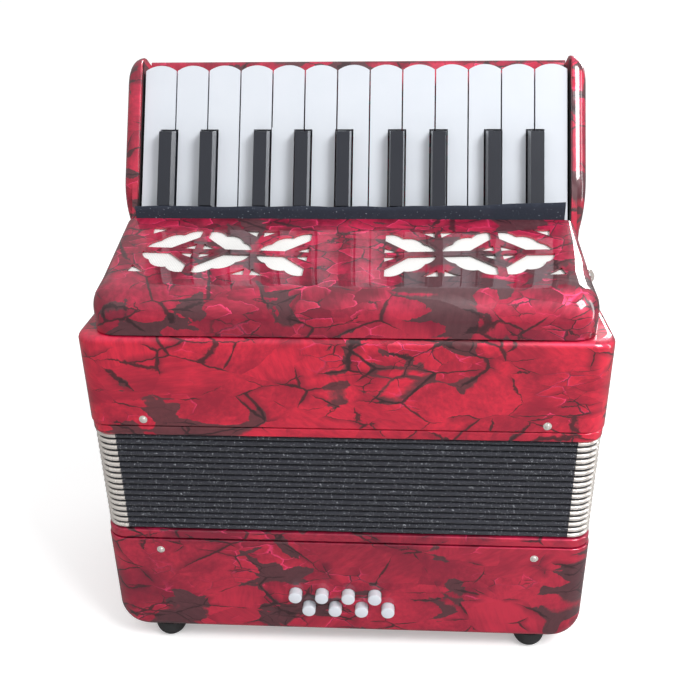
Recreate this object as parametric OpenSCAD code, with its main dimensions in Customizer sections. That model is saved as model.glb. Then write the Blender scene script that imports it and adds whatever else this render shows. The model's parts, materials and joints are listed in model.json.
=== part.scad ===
// Piano accordion for a child: 22 piano keys, 8 bass buttons, 17-fold bellows.
// It stands on its bass end, keyboard up, grille to the front (-Y).
// Origin: centre of the footprint, on the floor under the feet. Units: mm.

/* [Case] */
// Width of both boxes, along the keyboard
case_w = 278; // [265:1:285]
// Depth of both boxes, front to back
case_d = 150; // [146:1:160]
// Height of the bass box
bass_h = 66; // [60:1:72]
// Height of the treble box
treble_h = 52; // [48:1:58]
// Wall thickness of both boxes
wall = 6; // [5:0.5:8]
// Radius of the upright corners of both boxes
corner_r = 12; // [9:1:16]
// Radius of the bottom corners of the bass box
end_r = 14; // [10:1:16]
// Visible height of each bellows frame
frame_h = 6.2; // [5:0.1:8]
// Height of the rubber feet
foot_h = 12; // [10:0.5:16]

/* [Bellows] */
// Number of bellows folds
folds = 17; // [12:1:20]
// Height of the closed bellows
bellows_h = 63.6; // [56:0.1:76]
// Depth of the folds, from ridge to inner edge
fold_depth = 14; // [12:1:20]
// Length of each arm of the metal corners
corner_arm = 15; // [12:0.5:18]

/* [Keyboard] */
// Pitch of the white keys
key_pitch = 18.4; // [18:0.1:18.6]
// Gap between neighbouring keys
key_gap = 0.8; // [0.6:0.1:1]
// Lean of the keyboard back from upright
key_lean = 30; // [28:1:32]
// Length of a white key that shows, without its rounded tip
key_len = 78; // [74:1:80]
// Rise of the rounded tip of a white key
tip_rise = 3; // [2.6:0.1:3.6]
// Thickness of the keys
key_t = 11; // [10:0.5:12]
// Width of a black key
black_w = 8.7; // [8.2:0.1:9.2]
// Length of a black key that shows
black_len = 43; // [41:1:46]
// Height of a black key over the white keys
black_rise = 8.5; // [7:0.5:9]
// Travel of the keys, in degrees
key_travel = 3; // [2:0.5:3]

/* [Grille] */
// Width of the grille at the front
grille_w = 260; // [254:1:262]
// Width of the grille at the back
grille_back_w = 242; // [238:1:246]
// Slope of the top of the grille
grille_slope = 20; // [18:1:20]
// Thickness of the grille shell
grille_t = 1.2; // [1:0.1:2]

/* [Buttons] */
// Diameter of a bass button
button_d = 7.8; // [7:0.1:9]
// Distance between the bass buttons in a row
button_pitch = 15.5; // [14:0.5:17]
// Distance between the two rows of bass buttons
button_row = 9.5; // [9:0.5:12]
// Length of a bass button outside the box
button_out = 5.4; // [5:0.1:7]
// Travel of the bass buttons and the air button
button_travel = 4; // [2:0.5:4]

/* [Hidden] */
$fn = 48;
eps = 0.01;
clear = 0.05;

// Levels, from the floor up
bass_z0 = foot_h;
bass_z1 = bass_z0 + bass_h;
bellows_z0 = bass_z1 + frame_h;
bellows_z1 = bellows_z0 + bellows_h;
treble_z0 = bellows_z1 + frame_h;
treble_z1 = treble_z0 + treble_h;
front = -case_d / 2;
tongue_h = 11;
fold_pitch = bellows_h / folds;
fold_t = 2.9;
bellows_w = case_w - 1.2;
bellows_d = case_d - 3;

// Soundboards, reeds and pallets
board_t = 4;
board_z = treble_z1 - wall - clear;
keys_total = 22;
pallet_pitch = 10.4;
pallet_w = 8.8;
pallet_l = 28;
pallet_y = -45;
pallet_t = 5;
slot_w = 5;
slot_l = 22;

// Keyboard: s runs up along the keys, q runs back into them, from the visible
// lower end of the white keys
key_x = 1.8;
key_y = 1.5;
key_z = treble_z1 + 47.3;
whites = 13;
axle_r = 1.5;
axle_s = -14;
axle_q = 8;
key_low_s = -9.5;
keys_half = whites * key_pitch / 2;
cheek_in = keys_half + 1.2;
cheek_out = cheek_in + 9;
cheek_proud = 3.5;
cheek_top_s = 87.4;
board_q = key_t + 5.6;
board_top_s = 90.8;

// Notes from left to right: true is a black key
BLACK = [
    false, true, false, true, false,
    false, true, false, true, false, true, false,
    false, true, false, true, false,
    false, true, false, true, false
];
// Sideways offset of each black key from the joint between its white keys
BLACK_SHIFT = [-3.4, 1.3, -5.1, -0.5, 4.3, -2.8, 2, -4.5, 0.3];

function along(s, q) = key_y + s * sin(key_lean) + q * cos(key_lean);
function above(s, q) = key_z + s * cos(key_lean) - q * sin(key_lean);
function blacks_to(note) = note < 0 ? 0 : blacks_to(note - 1) + (BLACK[note] ? 1 : 0);
function whites_to(note) = note + 1 - blacks_to(note);
function white_left(n) = (n - whites / 2) * key_pitch;
function black_x(note) = white_left(whites_to(note)) + BLACK_SHIFT[blacks_to(note) - 1];
function is_black(note) = note >= 0 && note < keys_total && BLACK[note];
function pallet_x(note) = (note - (keys_total - 1) / 2) * pallet_pitch;

// Side walls of the narrow part of a white key, beside the black keys
function tail_left(note) = is_black(note - 1)
    ? black_x(note - 1) + black_w / 2 + key_gap
    : white_left(whites_to(note) - 1) + key_gap / 2;
function tail_right(note) = is_black(note + 1)
    ? black_x(note + 1) - black_w / 2 - key_gap
    : white_left(whites_to(note)) - key_gap / 2;
function tail_mid(note) = BLACK[note] ? black_x(note) : (tail_left(note) + tail_right(note)) / 2;

axle_y = along(axle_s, axle_q);
axle_z = above(axle_s, axle_q);

// Bass buttons and feet
foot_r = 9.3;
// The foot's dome: its height above the floor and the flat under it
foot_dome_z = 7.5;
foot_flat_r = 5.5;
foot_x = 110;
foot_y = 63;
button_r = button_d / 2;
button_x0 = -29.6;
button_z1 = foot_h + 29.3;
air_x = 92;
air_y = -30;
air_r = 6;
pin_x = 107;
lug_y = 42;
lug_out = 5.5;
lug_r = 5;
lug_hole = 3;
pin_r = 2.25;
shank_r = 1.2;
button_in = wall + 5;
rod_r = 1.5;
disc_r = 5;
vent_r = 2.8;
valve_y = 18;
valve_t = 3;
valve_h = 33;

// Grille levels and its pierced pattern
grille_front = front + 2;
grille_back = -9.4;
grille_corner = 14;
grille_back_r = 9;
grille_rim = treble_z1 + 43.1;
flower_x = 79.6;
half_flower_x = 18.2;
pattern_mid = 31.1;
rib = 2.2;

// ---- shared shapes ----

// Rectangle with round corners, as true arcs
module round_rect(w, d, r) {
    square([w - 2 * r, d], center = true);
    square([w, d - 2 * r], center = true);
    for (sx = [-1, 1], sy = [-1, 1])
        translate([sx * (w / 2 - r), sy * (d / 2 - r)]) circle(r);
}

// Upright tube of rounded rectangular plan, wall thickness t
module ring(w, d, r, t, h) {
    linear_extrude(h) difference() {
        round_rect(w, d, r);
        round_rect(w - 2 * t, d - 2 * t, max(r - t, 1));
    }
}

// The case outline, seen from the front and from the side, with one pair of
// rounded corners: at the bottom when up = -1, at the top when up = 1
module end_profile(w, h, r, up) {
    square_y = up > 0 ? 0 : r;
    translate([-w / 2, square_y]) square([w, h - r]);
    translate([-w / 2 + r, 0]) square([w - 2 * r, h]);
    for (sx = [-1, 1])
        translate([sx * (w / 2 - r), up > 0 ? h - r : r]) circle(r);
}

module across(d) {
    translate([0, d / 2, 0]) rotate([90, 0, 0]) linear_extrude(d) children();
}

module lengthways(w) {
    translate([-w / 2, 0, 0]) rotate([90, 0, 90]) linear_extrude(w) children();
}

// Points on the keyboard plane: children drawn in (x, s), thickness q0 to q1
module on_keys(q0, q1) {
    translate([key_x, key_y, key_z])
        rotate([90 - key_lean, 0, 0])
            translate([0, 0, -q1])
                linear_extrude(q1 - q0) children();
}

// ---- bass end ----

module bass_body(inset) {
    w = case_w - 2 * inset;
    d = case_d - 2 * inset;
    r = corner_r - inset / 2;
    intersection() {
        linear_extrude(bass_h) round_rect(w, d, r);
        across(case_d) end_profile(w, bass_h, end_r - inset / 2, -1);
        lengthways(case_w) end_profile(d, bass_h, 5, -1);
    }
}

module button_place(n) {
    row = n < 4 ? 0 : 1;
    step = n < 4 ? n : n - 4;
    translate([
        button_x0 + step * button_pitch + row * button_pitch / 2,
        front,
        button_z1 - row * button_row
    ]) children();
}

module bass_cavity() {
    translate([0, 0, wall])
        linear_extrude(bass_h) round_rect(case_w - 2 * wall, case_d - 2 * wall, corner_r - wall);
}

cover_w = 180;
cover_d = 44;
cover_y = 20;
cover_t = 2.5;

module cover_screw_place() {
    for (sx = [-1, 1], sy = [-1, 1])
        translate([sx * (cover_w / 2 - 6), cover_y + sy * (cover_d / 2 - 6), bass_z0]) children();
}

module pin_place(z) {
    for (sx = [-1, 1], side = [0, 180])
        rotate([0, 0, side])
            translate([sx * pin_x, front, z]) children();
}

module bass_casework() {
    color("crimson") difference() {
        translate([0, 0, bass_z0]) difference() {
            bass_body(0);
            bass_cavity();
        }
        for (n = [0:7])
            button_place(n)
                translate([0, -1, 0]) rotate([-90, 0, 0]) cylinder(r = button_r + clear, h = wall + 2);
        translate([air_x, air_y, bass_z0 - 1]) cylinder(r = air_r + clear, h = wall + 2);
        translate([0, cover_y, bass_z0 - 1])
            linear_extrude(wall + 2) round_rect(cover_w - 24, cover_d - 24, 4);
        translate([0, cover_y, bass_z0 - eps])
            linear_extrude(cover_t + clear + eps) round_rect(cover_w + 0.4, cover_d + 0.4, 6.2);
        cover_screw_place() translate([0, 0, -1]) cylinder(r = 1.25, h = wall);
        pin_place(bass_z1 - 7)
            translate([0, -1, 0]) rotate([-90, 0, 0]) cylinder(r = shank_r + clear, h = wall + 2);
        for (sx = [-1, 1], sy = [-1, 1])
            translate([sx * foot_x, sy * foot_y, bass_z0 - 1]) cylinder(r = 2 + clear, h = 6);
    }
}

module bass_end_cover() {
    color("firebrick") difference() {
        translate([0, cover_y, bass_z0])
            linear_extrude(cover_t) round_rect(cover_w, cover_d, 6);
        for (n = [-5:5])
            translate([n * 12, cover_y, bass_z0 - 1]) linear_extrude(5) round_rect(4, 16, 1.9);
        cover_screw_place() translate([0, 0, -1]) cylinder(r = 1.3, h = 5);
    }
}

module bass_cover_screws() {
    color("silver") cover_screw_place() {
        translate([0, 0, -1.4]) intersection() {
            cylinder(r = 2.6, h = 1.35);
            translate([0, 0, 3.2]) sphere(3.2);
        }
        translate([0, 0, -0.1]) cylinder(r = 1.2, h = 4.5);
    }
}

module bass_feet() {
    color("black") for (sx = [-1, 1], sy = [-1, 1])
        translate([sx * foot_x, sy * foot_y, 0]) {
            intersection() {
                cylinder(r = foot_r, h = foot_dome_z);
                translate([0, 0, foot_dome_z]) sphere(norm([foot_dome_z, foot_flat_r]));
            }
            translate([0, 0, foot_dome_z]) cylinder(r = foot_r, h = foot_h - clear - foot_dome_z);
            translate([0, 0, foot_h - 1]) cylinder(r = 2, h = 5);
        }
}

strap_y = 20;
strap_w = 46;
strap_half = 104;
strap_z = 4.4;
strap_t = 3;

module bass_strap() {
    color("black") translate([0, strap_y, strap_z]) linear_extrude(strap_t)
        round_rect(2 * strap_half, strap_w, 8);
}

stud_y = 20;
stud_z = bass_z1 - 22;
stud_x = case_w / 2;

module bass_strap_fittings() {
    color("silver") {
        for (sx = [-1, 1]) translate([sx * (strap_half - 8), strap_y, 0]) {
            translate([0, 0, strap_z + strap_t + clear])
                linear_extrude(bass_z0 - strap_z - strap_t - 2 * clear) round_rect(12, 34, 3);
            translate([0, 0, strap_z - 1.6 - clear]) linear_extrude(1.6) round_rect(12, 40, 3);
        }
        for (sx = [-1, 1]) translate([sx * (stud_x + clear), stud_y, stud_z])
            rotate([0, sx * 90, 0]) {
                cylinder(r = 6, h = 1);
                cylinder(r = 3, h = 2.2);
            }
    }
}

module bass_valve_plate() {
    color("burlywood") difference() {
        union() {
            translate([-60, front + valve_y, bass_z0 + wall + clear]) cube([130, valve_t, valve_h]);
            translate([-60, front + wall + clear, bass_z0 + wall + valve_h - 3])
                cube([130, valve_y - wall, 3]);
        }
        for (n = [0:7]) button_place(n)
            translate([0, valve_y - 1, 0]) rotate([-90, 0, 0]) cylinder(r = vent_r, h = valve_t + 2);
    }
}

// Return springs, drawn as short coils around the rods
module bass_button_springs() {
    color("silver") for (n = [0:7]) button_place(n) rotate([-90, 0, 0])
        translate([0, 0, valve_y - clear - 2.6]) difference() {
            union() {
                cylinder(r = vent_r + 1, h = 0.8);
                translate([0, 0, 0.8 - eps]) cylinder(r = vent_r + 0.6, h = 1);
                translate([0, 0, 1.8]) cylinder(r = vent_r + 1, h = 0.8);
            }
            translate([0, 0, -1]) cylinder(r = vent_r, h = 5);
        }
}

bass_board_z = bass_z1 - 24;

module bass_soundboard() {
    color("burlywood") difference() {
        translate([0, 0, bass_board_z]) linear_extrude(board_t)
            round_rect(case_w - 2 * wall - 0.2, case_d - 2 * wall - 0.2, corner_r - wall);
        for (n = [0:7]) translate([(n - 3.5) * 14, 0, bass_board_z - 1]) linear_extrude(board_t + 2)
            round_rect(7, 22, 2);
        translate([air_x, air_y, bass_board_z - 1]) cylinder(r = 9, h = board_t + 2);
    }
}

module bass_reed_block() {
    color("tan") difference() {
        translate([-64, -14, bass_board_z + board_t + clear]) cube([128, 28, 16]);
        for (n = [0:7]) translate([(n - 3.5) * 14 - 4, -11, bass_board_z + board_t - 1])
            cube([8, 22, 15]);
    }
}

module bass_reed_plates() {
    color("silver") for (n = [0:7], sy = [-1, 1])
        translate([(n - 3.5) * 14 - 6, sy > 0 ? 14 + clear : -15.2 - clear, bass_board_z + 7]) {
            cube([12, 1.2, 11]);
            translate([5, sy > 0 ? 1.2 - eps : -0.3, 1]) cube([2, 0.3 + eps, 9]);
        }
}

module bellows_frame(z, up) {
    difference() {
        union() {
            translate([0, 0, z]) ring(case_w - 1, case_d - 1, corner_r, 20, frame_h - clear);
            translate([0, 0, up > 0 ? z + frame_h - 1 : z - tongue_h])
                ring(case_w - 2 * wall - 0.2, case_d - 2 * wall - 0.2, corner_r - wall, 8, tongue_h + 1);
        }
        pin_place(up > 0 ? z + frame_h + 4 : z - 7)
            translate([0, wall, 0]) rotate([-90, 0, 0]) cylinder(r = shank_r + clear, h = 7);
    }
}

module bass_bellows_frame() {
    color("darkred") bellows_frame(bass_z1 + clear, -1);
}

module bellows_pins(z) {
    pin_place(z) {
        translate([0, -0.9 - clear, 0]) intersection() {
            rotate([-90, 0, 0]) cylinder(r = pin_r, h = 0.9);
            translate([0, 2.4, 0]) sphere(3.3);
        }
        translate([0, -0.2 - clear, 0]) rotate([-90, 0, 0]) cylinder(r = shank_r, h = wall + 5);
    }
}

module bass_bellows_pins() {
    color("silver") bellows_pins(bass_z1 - 7);
}

// ---- bellows ----

// Thickness of the metal corners, and how far the folded core lies in
metal_t = 2.5;
core_in = metal_t + 0.1;

module corner_zone(grow) {
    arm = corner_arm + grow;
    for (sx = [-1, 1], sy = [-1, 1])
        translate([sx * (bellows_w - arm) / 2, sy * (bellows_d - arm) / 2])
            square([arm + 2 * grow, arm + 2 * grow], center = true);
}

module bellows_pleats() {
    core_w = bellows_w - 2 * core_in;
    core_d = bellows_d - 2 * core_in;
    color("darkslategray") union() {
        translate([0, 0, bellows_z0 + clear]) linear_extrude(bellows_h - 2 * clear) difference() {
            round_rect(core_w, core_d, corner_r - core_in);
            round_rect(bellows_w - 2 * fold_depth, bellows_d - 2 * fold_depth, 2);
        }
        for (n = [0:folds - 1])
            translate([0, 0, bellows_z0 + (n + 0.5) * fold_pitch - fold_t / 2])
                linear_extrude(fold_t) difference() {
                    round_rect(bellows_w, bellows_d, corner_r);
                    round_rect(core_w - 2, core_d - 2, corner_r - core_in - 1);
                    corner_zone(0.1);
                }
    }
}

module bellows_corners() {
    color("gainsboro") for (n = [0:folds - 1])
        translate([0, 0, bellows_z0 + (n + 0.5) * fold_pitch - fold_t / 2])
            linear_extrude(fold_t) intersection() {
                difference() {
                    round_rect(bellows_w, bellows_d, corner_r);
                    round_rect(bellows_w - 2 * metal_t, bellows_d - 2 * metal_t, corner_r - metal_t);
                }
                corner_zone(0);
            }
}

band_t = 2.2;
band_w = 20;
band_x = case_w / 2 + 2.4;
band_z0 = stud_z - 12;
band_z1 = treble_z0 + 26;

module bellows_straps() {
    color("black") for (sx = [-1, 1])
        translate([sx * (band_x + band_t / 2), stud_y, 0]) {
            translate([-band_t / 2, -band_w / 2, band_z0]) cube([band_t, band_w, band_z1 - band_z0]);
            translate([sx * (band_x - case_w / 2 - clear) / -2, 0, band_z1 - 6])
                cube([band_t + band_x - case_w / 2 - clear, band_w, 12], center = true);
        }
}

// ---- treble end ----

module treble_bellows_frame() {
    color("darkred") bellows_frame(bellows_z1, 1);
}

module treble_bellows_pins() {
    color("silver") bellows_pins(treble_z0 + 4);
}

opening_y0 = -67;
opening_y1 = -11;
opening_half = 116;

module treble_casework() {
    color("crimson") difference() {
        translate([0, 0, treble_z0]) difference() {
            intersection() {
                linear_extrude(treble_h) round_rect(case_w, case_d, corner_r);
                across(case_d) end_profile(case_w, treble_h, 4, 1);
                lengthways(case_w) end_profile(case_d, treble_h, 4, 1);
            }
            translate([0, 0, -1]) linear_extrude(treble_h - wall + 1)
                round_rect(case_w - 2 * wall, case_d - 2 * wall, corner_r - wall);
        }
        translate([-opening_half, opening_y0, treble_z1 - wall - 1])
            cube([2 * opening_half, opening_y1 - opening_y0, wall + 2]);
        pin_place(treble_z0 + 4)
            translate([0, -1, 0]) rotate([-90, 0, 0]) cylinder(r = shank_r + clear, h = wall + 2);
    }
}

module treble_soundboard() {
    color("lightgray") difference() {
        translate([0, 0, board_z - board_t]) linear_extrude(board_t)
            round_rect(case_w - 2 * wall - 0.2, case_d - 2 * wall - 0.2, corner_r - wall);
        for (n = [0:keys_total - 1])
            translate([pallet_x(n) - slot_w / 2, pallet_y - slot_l / 2, board_z - board_t - 1])
                cube([slot_w, slot_l, board_t + 2]);
    }
}

block_w = 234;
block_h = 30;

module treble_reed_blocks() {
    color("tan") difference() {
        translate([-block_w / 2, pallet_y - 10, board_z - board_t - clear - block_h])
            cube([block_w, 20, block_h]);
        for (n = [0:keys_total - 1])
            translate([pallet_x(n) - 3.2, pallet_y - 7, board_z - board_t - block_h + 3])
                cube([6.4, 14, block_h]);
    }
}

module treble_reed_plates() {
    color("silver") for (n = [0:keys_total - 1], sy = [-1, 1])
        translate([
            pallet_x(n) - 4.4,
            pallet_y + (sy > 0 ? 10 + clear : -11.2 - clear),
            board_z - board_t - block_h + 2
        ]) cube([8.8, 1.2, 24]);
}

// Grille: round edges, sloping top; t is the inset, 0 for the outside
module grille_form(t) {
    front_y = grille_front + grille_corner;
    back_y = 10;
    front_x = grille_w / 2 - grille_corner;
    back_x = grille_back_w / 2 - grille_back_r;
    // Height of the sloping top over each sphere's centre
    rim_front = grille_rim - (grille_back - front_y) * tan(grille_slope);
    rim_back = grille_rim - (grille_back - back_y) * tan(grille_slope);
    ball_front = rim_front - grille_corner / cos(grille_slope);
    ball_back = rim_back - grille_back_r / cos(grille_slope);
    intersection() {
        hull() for (sx = [-1, 1]) {
            translate([sx * front_x, front_y, treble_z1 - 1])
                cylinder(r = grille_corner - t, h = 1, $fn = 32);
            translate([sx * front_x, front_y, ball_front]) sphere(grille_corner - t, $fn = 32);
            translate([sx * back_x, back_y, treble_z1 - 1]) cylinder(r = grille_back_r - t, h = 1, $fn = 32);
            translate([sx * back_x, back_y, ball_back]) sphere(grille_back_r - t, $fn = 32);
        }
        translate([-case_w, -case_d, treble_z1 + (t > 0 ? -1 : clear)])
            cube([2 * case_w, case_d + grille_back + t, 100]);
    }
}

// Points along a shallow arc from a to b that rises to its right
function bulge(a, b, rise) =
    let (
        half = norm(b - a) / 2,
        radius = (half * half + rise * rise) / (2 * rise),
        way = (b - a) / (2 * half),
        out = [way[1], -way[0]],
        middle = (a + b) / 2 + out * (rise - radius),
        span = asin(half / radius)
    )
    [for (k = [0:5]) let (turn = span * (k / 3 - 1)) middle + radius * (out * cos(turn) + way * sin(turn))];

// Piercings in the quadrant +x +y of a flower, and the leaves around it
PETAL = concat(
    bulge([29, rib - 0.5], [23, 8.4], 1.3),
    bulge([23, 8.4], [12, 13.8], 2.2),
    bulge([12, 13.8], [rib, 17.4], 1.6),
    [[rib, 17.4], [rib, 11.2], [14.6, rib - 0.5]]
);
EYE = [[1.8, 1.3], [9.6, 1.7], [6.2, 3.9], [2, 5.7]];
INNER_LEAF = [[1.9, 13.2], [10.2, 18.2], [1.4, 18.2]];
OUTER_LEAF = [[29.6, 13], [31.2, 18.2], [21, 18.2]];

// A point of the pattern, which fans out to the front and bows at both ends
function fan(x, y) = [x * (1 - 0.0016 * y) + 0.045 * y + 0.8, y + 0.04 * abs(x)];

// One piercing beside x = middle, and its mirror images in both axes
module piercing(shape, middle, way) {
    for (sx = [-1, 1])
        for (sy = [-1, 1])
            polygon([for (p = shape) fan(sx * (middle + way * p[0]), sy * p[1])]);
}

module grille_pattern() {
    for (way = [-1, 1]) {
        piercing(PETAL, flower_x, way);
        piercing(EYE, flower_x, way);
        piercing(INNER_LEAF, (flower_x + half_flower_x) / 2, way);
    }
    piercing(PETAL, half_flower_x, 1);
    piercing(EYE, half_flower_x, 1);
    piercing(OUTER_LEAF, flower_x, 1);
}

// Children drawn on the sloping top, from the middle of the pattern, and
// extruded by h about a plane that lies dz above the top
module on_grille_top(h, dz) {
    translate([0, grille_back, grille_rim])
        rotate([grille_slope, 0, 0])
            translate([0, -pattern_mid, dz - h / 2])
                linear_extrude(h) children();
}

module grille() {
    color("crimson") difference() {
        grille_form(0);
        grille_form(grille_t);
        on_grille_top(16, 0) grille_pattern();
    }
}

module grille_cloth() {
    color("white") on_grille_top(0.6, -grille_t - 0.45) translate([-113, -21]) square([226, 45]);
}

// ---- keyboard ----

cheek_round = 9;
base_back = 71;
base_wall = 5;

// Smooth bend of the cheek's front, from its foot at t = 0 to its slope at t = 1
function knee(front_y, t) =
    pow(1 - t, 2) * [front_y, treble_z1 + 30]
    + 2 * t * (1 - t) * [along(0, -cheek_proud), above(0, -cheek_proud)]
    + t * t * [along(16, -cheek_proud), above(16, -cheek_proud)];

// Side outline of the keyboard's body, with its front at front_y low down
module cheek_profile(front_y) {
    polygon([
        [front_y, treble_z1 + clear],
        for (t = [0:0.125:1]) knee(front_y, t),
        [along(cheek_top_s - cheek_round, -cheek_proud), above(cheek_top_s - cheek_round, -cheek_proud)],
        [along(cheek_top_s, cheek_round - cheek_proud), above(cheek_top_s, cheek_round - cheek_proud)],
        [along(cheek_top_s, 19), above(cheek_top_s, 19)],
        [base_back, above(cheek_top_s, 19) - 6],
        [base_back, treble_z1 + clear]
    ]);
    translate([
        along(cheek_top_s - cheek_round, cheek_round - cheek_proud),
        above(cheek_top_s - cheek_round, cheek_round - cheek_proud)
    ]) circle(cheek_round);
}

// Side outline of the hollow body between the cheeks
module base_profile(t) {
    polygon([
        [along(-30, board_q + t), above(-30, board_q + t)],
        [along(board_top_s - t, board_q + t), above(board_top_s - t, board_q + t)],
        [along(board_top_s - t, board_q + 8), above(board_top_s - t, board_q + 8)],
        [base_back - t, above(cheek_top_s, 19) - 6 - t],
        [base_back - t, treble_z1 + clear + t],
        [14 + t, treble_z1 + clear + t]
    ]);
}

module keyboard_base() {
    color("crimson") difference() {
        translate([key_x, 0, 0]) {
            for (sx = [-1, 1]) {
                translate([sx * (cheek_out + cheek_in) / 2, 0, 0])
                    lengthways(cheek_out - cheek_in) cheek_profile(9);
                translate([sx * (cheek_in + 1.5), 0, 0])
                    lengthways(3) cheek_profile(-8);
            }
            difference() {
                lengthways(2 * cheek_in + 2) base_profile(0);
                lengthways(2 * cheek_in - 2) base_profile(base_wall);
            }
        }
        translate([key_x - cheek_in - 5, axle_y, axle_z])
            rotate([0, 90, 0]) cylinder(r = axle_r + clear, h = 2 * cheek_in + 10);
    }
}

module key_axle() {
    color("silver") translate([key_x - cheek_in - 2.8, axle_y, axle_z])
        rotate([0, 90, 0]) cylinder(r = axle_r, h = 2 * cheek_in + 5.6);
}

// Folded leaf springs on the board, under the lower end of each key
module key_springs() {
    color("goldenrod") for (note = [0:keys_total - 1])
        translate([key_x + tail_mid(note), 0, 0]) lengthways(3) polygon([
            for (p = [[8, 0.05], [20, 0.05], [20, 0.4], [9.5, 0.4], [20, 3.1], [20, 3.5], [8, 0.45]])
                [along(p[0], board_q - p[1]), above(p[0], board_q - p[1])]
        ]);
}

module key_felt_strip() {
    color("midnightblue")
        translate([-118, grille_back + clear, treble_z1 + 38]) cube([236, 1.5, 12.2]);
}

// Hub, lever arm and pallet of one key
module key_action(note) {
    x0 = key_x + tail_mid(note);
    x1 = pallet_x(note);
    hub_w = BLACK[note] ? black_w : tail_right(note) - tail_left(note);
    top_y = axle_y - 2;
    arm_y = pallet_y - 6;
    arm_w = 2.6;
    difference() {
        union() {
            translate([x0 - hub_w / 2, axle_y, axle_z]) rotate([0, 90, 0]) cylinder(r = 5, h = hub_w);
            intersection() {
                translate([0, 0, treble_z1 - 10]) linear_extrude(60) polygon([
                    [x0 - arm_w / 2, top_y], [x0 + arm_w / 2, top_y],
                    [x1 + arm_w / 2, arm_y], [x1 - arm_w / 2, arm_y]
                ]);
                lengthways(2 * case_w) polygon([
                    [top_y, axle_z + 1], [top_y, axle_z - 4],
                    [pallet_y + 4, treble_z1 - 2], [arm_y, treble_z1 - 2],
                    [arm_y, treble_z1 + 3], [pallet_y + 2, treble_z1 + 3]
                ]);
            }
            translate([x1 - pallet_w / 2, pallet_y - pallet_l / 2, treble_z1 - wall + clear])
                cube([pallet_w, pallet_l, pallet_t]);
        }
        translate([x0 - hub_w, axle_y, axle_z])
            rotate([0, 90, 0]) cylinder(r = axle_r + clear, h = 2 * hub_w);
    }
}

module hub_web(note) {
    hub_w = BLACK[note] ? black_w : tail_right(note) - tail_left(note);
    difference() {
        on_keys(4, key_t)
            translate([tail_mid(note) - hub_w / 2, axle_s + 2]) square([hub_w, key_low_s - axle_s]);
        translate([key_x + tail_mid(note) - hub_w, axle_y, axle_z])
            rotate([0, 90, 0]) cylinder(r = axle_r + clear, h = 2 * hub_w);
    }
}

module white_key(note) {
    n = whites_to(note) - 1;
    left = white_left(n) + key_gap / 2;
    wide = key_pitch - key_gap;
    tip_r = (wide * wide / 4 + tip_rise * tip_rise) / (2 * tip_rise);
    color("white") {
        on_keys(0, key_t) {
            translate([tail_left(note), key_low_s])
                square([tail_right(note) - tail_left(note), black_len + key_gap - key_low_s + 1]);
            translate([left, black_len + key_gap]) square([wide, key_len - black_len - key_gap]);
            intersection() {
                translate([left, key_len - 1]) square([wide, tip_rise + 2]);
                translate([left + wide / 2, key_len + tip_rise - tip_r]) circle(tip_r, $fn = 96);
            }
        }
        hub_web(note);
        key_action(note);
    }
}

module black_cap(note) {
    top_w = black_w - 1.6;
    difference() {
        translate([key_x + black_x(note), key_y, key_z])
            rotate([-key_lean, 0, 0])
                translate([0, 0, -2]) linear_extrude(black_len + 2)
                    polygon([
                        [-black_w / 2, 0.5], [-black_w / 2, -2], [-top_w / 2, -black_rise],
                        [top_w / 2, -black_rise], [black_w / 2, -2], [black_w / 2, 0.5]
                    ]);
        // Sloping front end
        translate([key_x + black_x(note), along(black_len, 0), above(black_len, 0)])
            rotate([20 - key_lean, 0, 0]) translate([-10, -20, 0]) cube([20, 20, 20]);
    }
}

module black_key(note) {
    color("black") {
        on_keys(0, key_t)
            translate([black_x(note) - black_w / 2, key_low_s]) square([black_w, black_len - key_low_s]);
        black_cap(note);
        hub_web(note);
        key_action(note);
    }
}

module key(note) {
    if (BLACK[note]) black_key(note);
    else white_key(note);
}

// ---- fittings and buttons ----

// Lugs for the shoulder straps, two on each end of the treble box
module strap_brackets() {
    color("silver") for (sx = [-1, 1], z = [treble_z0 + 12, treble_z1 - 9])
        translate([sx * (case_w / 2 + clear), lug_y, z]) rotate([0, sx * 90, 0])
            difference() {
                union() {
                    linear_extrude(1.5) round_rect(14, 10, 2);
                    translate([0, 1.5, lug_out]) rotate([90, 0, 0]) cylinder(r = lug_r, h = 3);
                    translate([-lug_r, -1.5, 1]) cube([2 * lug_r, 3, lug_out - 1]);
                }
                translate([0, 5, lug_out]) rotate([90, 0, 0]) cylinder(r = lug_hole, h = 10);
            }
}

module air_button() {
    color("ivory") translate([air_x, air_y, bass_z0]) {
        translate([0, 0, -5]) cylinder(r = air_r, h = wall + 9);
        translate([0, 0, wall + 3]) cylinder(r = 2, h = bass_board_z - bass_z0 + board_t - wall - 2);
        translate([0, 0, bass_board_z - bass_z0 + board_t + clear]) cylinder(r = 12, h = 3);
    }
}

// Button, its rod and the valve disc that the rod lifts off the valve plate
module bass_button(n) {
    dome_r = 7;
    color("white") button_place(n) rotate([-90, 0, 0]) {
        intersection() {
            translate([0, 0, -button_out]) cylinder(r = button_r, h = button_out + button_in);
            union() {
                translate([0, 0, dome_r - button_out]) sphere(dome_r, $fn = 96);
                translate([0, 0, dome_r - button_out]) cylinder(r = dome_r, h = 20);
            }
        }
        translate([0, 0, button_in - 1]) cylinder(r = rod_r, h = valve_y - button_in + valve_t + 2);
        translate([0, 0, valve_y + valve_t + clear]) cylinder(r = disc_r, h = 3);
    }
}

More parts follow.
